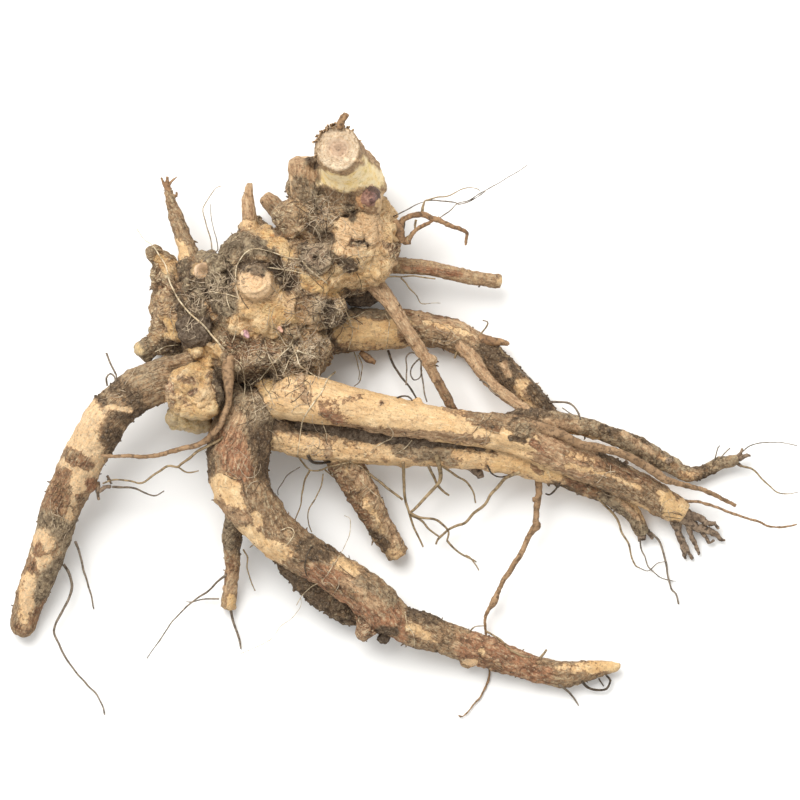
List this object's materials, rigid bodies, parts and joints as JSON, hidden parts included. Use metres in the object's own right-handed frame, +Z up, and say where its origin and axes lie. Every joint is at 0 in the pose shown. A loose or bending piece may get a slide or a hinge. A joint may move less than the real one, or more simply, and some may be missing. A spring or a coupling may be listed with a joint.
{
  "type": "elecampane root",
  "caption": "Dug elecampane rootstock: knobbly crown with a cut stem, thick arching roots and rootlets, soil in its crevices.",
  "frame": {"origin": "on the surface that the rootstock rests on, under the middle of its outline", "axes": "+Z up, away from that surface, the way the plant grew; +X along the longest spread, from the left root's tip towards the forked right roots; +Y towards the cut flowering stem"},
  "size_m": [0.3946, 0.2796, 0.0887],
  "materials": {
    "bark": "matte, rough",
    "soil": "matte, crumbly"
  },
  "bodies": {
    "root": {"elecampane_root": "bark", "soil_left_crevice": "soil", "soil_under_lobe": "soil", "soil_back_crevice": "soil", "soil_lower_root": "soil", "soil_root_groove": "soil"}
  },
  "joints": []
}
